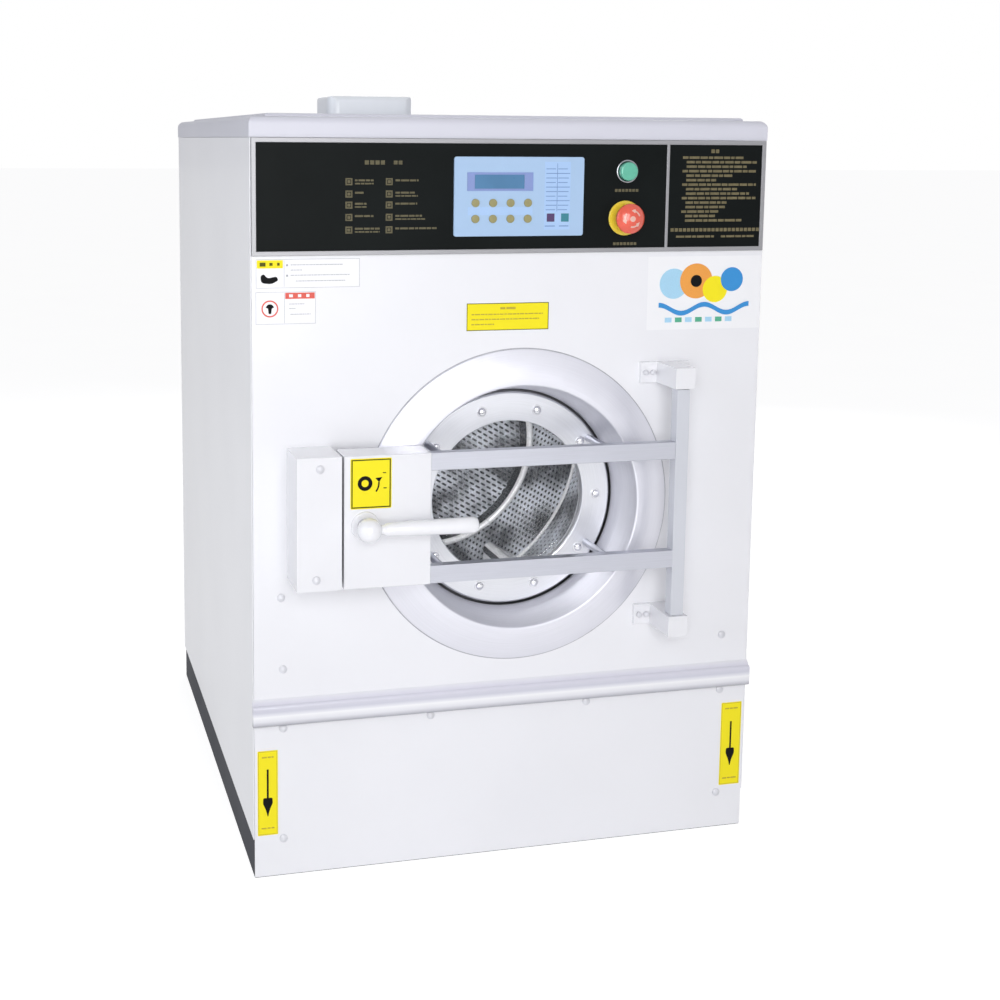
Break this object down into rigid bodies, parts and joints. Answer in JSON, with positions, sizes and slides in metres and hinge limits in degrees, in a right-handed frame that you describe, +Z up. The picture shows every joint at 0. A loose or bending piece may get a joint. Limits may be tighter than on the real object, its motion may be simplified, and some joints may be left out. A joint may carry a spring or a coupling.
{
  "type": "washer-extractor",
  "caption": "Front-loading commercial washer with a floor frame, a spinning drum, a round glass door in a hinged carrier, a lever latch, a control panel and a soap hopper.",
  "frame": {"origin": "middle of the four floor anchor holes, at the underside of the floor frame", "axes": "+Z up, the front with the door faces -Y, +X to the viewer's right, +Y out of the rear panel"},
  "size_m": [0.862, 1.157, 1.2573],
  "materials": {
    "cabinet_paint": "white powder coat, fine satin",
    "frame_paint": "black structural paint, matt",
    "door_hardware_paint": "white enamel, glossy",
    "fastener_steel": "bright zinc plate",
    "trim_silver": "satin anodised",
    "fascia_black": "black overlay film, half gloss",
    "keypad_blue": "pale blue overlay film",
    "display_window": "blue liquid crystal display behind a clear window",
    "collar_yellow": "yellow moulded plastic",
    "surround_silver": "pale satin pressing",
    "seal_rubber": "black moulded rubber",
    "tub_steel": "plain rolled stainless steel",
    "housing_iron": "painted casting",
    "bearing_steel": "ground steel",
    "belt_rubber": "ribbed belt",
    "motor_paint": "blue-grey enamel",
    "pipe_plastic": "grey drain plastic",
    "valve_plastic": "white nylon",
    "hopper_plastic": "clear-blue moulded plastic",
    "inverter_case": "grey control case",
    "gland_nylon": "black nylon",
    "drum_steel": "polished perforated stainless steel",
    "shaft_steel": "turned steel",
    "door_steel": "circular brushed stainless steel",
    "arm_steel": "brushed bar",
    "door_glass": "clear pressed glass",
    "lever_plastic": "white moulded grip",
    "start_green": "green translucent button",
    "stem_grey": "dark grey plastic",
    "stop_red": "red moulded plastic",
    "key_olive": "printed key dome"
  },
  "bodies": {
    "cabinet": {"base_frame": "frame_paint", "corner_posts": "frame_paint", "left_panel": "cabinet_paint", "right_panel": "cabinet_paint", "rear_panel": "cabinet_paint", "top_cover": "cabinet_paint", "front_panel": "cabinet_paint", "service_panel": "cabinet_paint", "front_rail": "cabinet_paint", "cabinet_screws": "fastener_steel", "fascia_frame": "trim_silver", "control_fascia": "fascia_black", "keypad_module": "keypad_blue", "lcd_window": "display_window", "estop_collar": "collar_yellow", "door_surround": "surround_silver", "door_gasket": "seal_rubber", "latch_keeper": "door_hardware_paint", "upper_bracket": "door_hardware_paint", "lower_bracket": "door_hardware_paint", "outer_tub": "tub_steel", "tub_front": "tub_steel", "bearing_housing": "housing_iron", "shaft_bearings": "bearing_steel", "drive_belt": "belt_rubber", "motor": "motor_paint", "drain_valve": "pipe_plastic", "inlet_valves": "valve_plastic", "soap_hopper": "hopper_plastic", "inverter_box": "inverter_case", "cable_gland": "gland_nylon"},
    "drum": {"drum_shell": "drum_steel", "drum_back": "drum_steel", "drum_lifters": "drum_steel", "main_shaft": "shaft_steel", "drum_pulley": "housing_iron"},
    "rotor": {"motor_rotor": "shaft_steel"},
    "door": {"door_disc": "door_steel", "door_glass": "door_glass", "glass_seal": "seal_rubber", "glass_clamp": "door_steel", "door_bolts": "fastener_steel", "upper_arm": "arm_steel", "lower_arm": "arm_steel", "hinge_post": "door_hardware_paint", "latch_box": "door_hardware_paint"},
    "lever": {"latch_lever": "lever_plastic"},
    "bolt": {"latch_bolt": "shaft_steel"},
    "start": {"start_button": "start_green"},
    "estop_push": {"estop_stem": "stem_grey"},
    "estop_knob": {"estop_head": "stop_red"},
    "lid": {"soap_lid": "hopper_plastic"},
    "key_1": {"key_1": "key_olive"},
    "key_2": {"key_2": "key_olive"},
    "key_3": {"key_3": "key_olive"},
    "key_4": {"key_4": "key_olive"},
    "key_5": {"key_5": "key_olive"},
    "key_6": {"key_6": "key_olive"},
    "key_7": {"key_7": "key_olive"},
    "key_8": {"key_8": "key_olive"}
  },
  "joints": [
    {"name": "door_hinge", "type": "hinge", "parent": "cabinet", "child": "door", "pos_m": [0.26, -0.557, 0.6025], "axis": [0, 0, 1], "range_deg": [0, 165]},
    {"name": "lever_turn", "type": "hinge", "parent": "door", "child": "lever", "pos_m": [-0.268, -0.59, 0.598], "axis": [0, 1, 0], "range_deg": [0, 90]},
    {"name": "bolt_slide", "type": "slide", "parent": "door", "child": "bolt", "axis": [-1, 0, 0], "range_m": [0, 0.0305]},
    {"name": "drum_spin", "type": "hinge", "parent": "cabinet", "child": "drum", "pos_m": [0.009, 0, 0.595], "axis": [0, 1, 0], "continuous": true},
    {"name": "rotor_spin", "type": "hinge", "parent": "cabinet", "child": "rotor", "pos_m": [0.25, 0.2, 0.185], "axis": [0, 1, 0], "continuous": true},
    {"name": "start_press", "type": "slide", "parent": "cabinet", "child": "start", "axis": [0, 1, 0], "range_m": [0, 0.004], "stiffness_N_per_m": 600},
    {"name": "estop_press", "type": "slide", "parent": "cabinet", "child": "estop_push", "axis": [0, 1, 0], "range_m": [0, 0.005]},
    {"name": "estop_twist", "type": "hinge", "parent": "estop_push", "child": "estop_knob", "pos_m": [0.181, -0.51, 1.0626], "axis": [0, 1, 0], "range_deg": [0, 30], "stiffness_Nm_per_rad": 0.1},
    {"name": "lid_hinge", "type": "hinge", "parent": "cabinet", "child": "lid", "pos_m": [-0.193, -0.171, 1.2363], "axis": [-1, 0, 0], "range_deg": [0, 100]},
    {"name": "key_1_press", "type": "slide", "parent": "cabinet", "child": "key_1", "axis": [0, 1, 0], "range_m": [0, 0.001], "stiffness_N_per_m": 250},
    {"name": "key_2_press", "type": "slide", "parent": "cabinet", "child": "key_2", "axis": [0, 1, 0], "range_m": [0, 0.001], "stiffness_N_per_m": 250},
    {"name": "key_3_press", "type": "slide", "parent": "cabinet", "child": "key_3", "axis": [0, 1, 0], "range_m": [0, 0.001], "stiffness_N_per_m": 250},
    {"name": "key_4_press", "type": "slide", "parent": "cabinet", "child": "key_4", "axis": [0, 1, 0], "range_m": [0, 0.001], "stiffness_N_per_m": 250},
    {"name": "key_5_press", "type": "slide", "parent": "cabinet", "child": "key_5", "axis": [0, 1, 0], "range_m": [0, 0.001], "stiffness_N_per_m": 250},
    {"name": "key_6_press", "type": "slide", "parent": "cabinet", "child": "key_6", "axis": [0, 1, 0], "range_m": [0, 0.001], "stiffness_N_per_m": 250},
    {"name": "key_7_press", "type": "slide", "parent": "cabinet", "child": "key_7", "axis": [0, 1, 0], "range_m": [0, 0.001], "stiffness_N_per_m": 250},
    {"name": "key_8_press", "type": "slide", "parent": "cabinet", "child": "key_8", "axis": [0, 1, 0], "range_m": [0, 0.001], "stiffness_N_per_m": 250}
  ],
  "couplings": [
    {"joint": "bolt_slide", "follows": "lever_turn", "m_per_rad": 0.019099},
    {"joint": "rotor_spin", "follows": "drum_spin", "ratio": 5}
  ]
}
